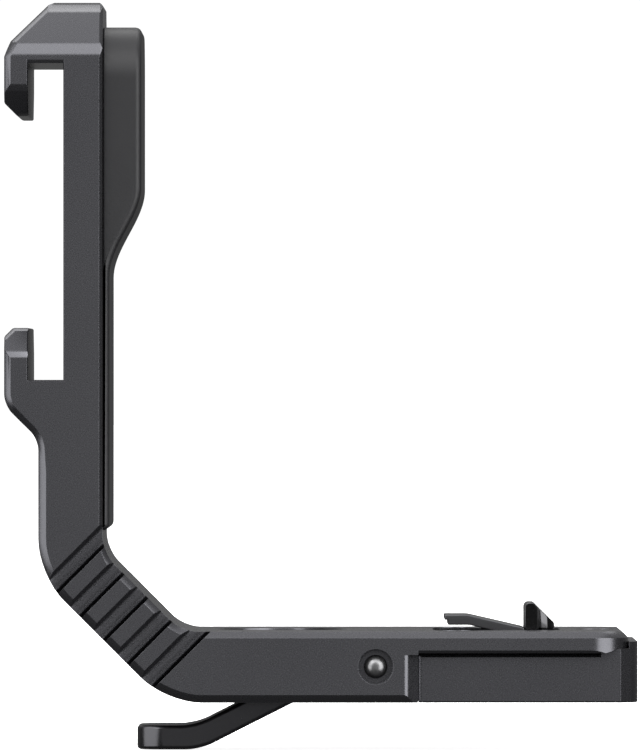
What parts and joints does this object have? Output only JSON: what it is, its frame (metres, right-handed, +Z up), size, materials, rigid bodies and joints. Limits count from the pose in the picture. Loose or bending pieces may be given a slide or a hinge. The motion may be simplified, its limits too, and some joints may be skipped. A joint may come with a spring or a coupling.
{
  "type": "action camera extension bracket",
  "caption": "L-shaped metal bracket: a quick-release foot and latch under and in its deck for an action camera, and a cold shoe channel on its upright arm.",
  "frame": {"origin": "on the foot's underside at mid width, on the axis of the deck's end screw", "axes": "+Z up out of the deck and along the arm, +X along the deck to its free end, Y across the bracket with the pictured side at -Y"},
  "size_m": [0.0371, 0.02, 0.0439],
  "materials": {
    "satin_alloy": "satin dark grey anodised",
    "foot_alloy": "satin dark grey anodised",
    "pad_moulding": "fine matte moulding",
    "screw_steel": "blackened steel",
    "black_steel": "black coated steel, half gloss",
    "grey_steel": "satin dark grey",
    "bright_steel": "bright turned steel",
    "spring_steel": "drawn spring wire",
    "natural_nylon": "natural nylon"
  },
  "bodies": {
    "bracket": {"main_frame": "satin_alloy", "arm_pad": "pad_moulding", "pad_screw_front": "screw_steel", "pad_screw_rear": "screw_steel", "foot_block": "foot_alloy", "foot_screw_front": "screw_steel", "foot_screw_rear": "screw_steel", "foot_screw_end": "screw_steel", "spring_cap": "satin_alloy", "claw_pin": "bright_steel", "lever_pin": "bright_steel", "lever_washer_front": "natural_nylon", "lever_washer_rear": "natural_nylon", "lever_spring": "spring_steel"},
    "release_lever": {"release_lever": "black_steel"},
    "latch_claw": {"claw_tooth": "black_steel", "trip_plate": "grey_steel", "claw_spring_front": "spring_steel", "claw_spring_rear": "spring_steel"}
  },
  "joints": [
    {"name": "lever_press", "type": "hinge", "parent": "bracket", "child": "release_lever", "pos_m": [-0.01307, 0, 0.00211], "axis": [0, 1, 0], "range_deg": [0, 5], "stiffness_Nm_per_rad": 0.03, "springref_deg": -17.19, "deforming": ["lever_spring"]},
    {"name": "claw_close", "type": "hinge", "parent": "bracket", "child": "latch_claw", "pos_m": [-0.0032, 0, 0.0029], "axis": [0, -1, 0], "range_deg": [0, 13], "stiffness_Nm_per_rad": 0.005, "springref_deg": -17.19}
  ]
}
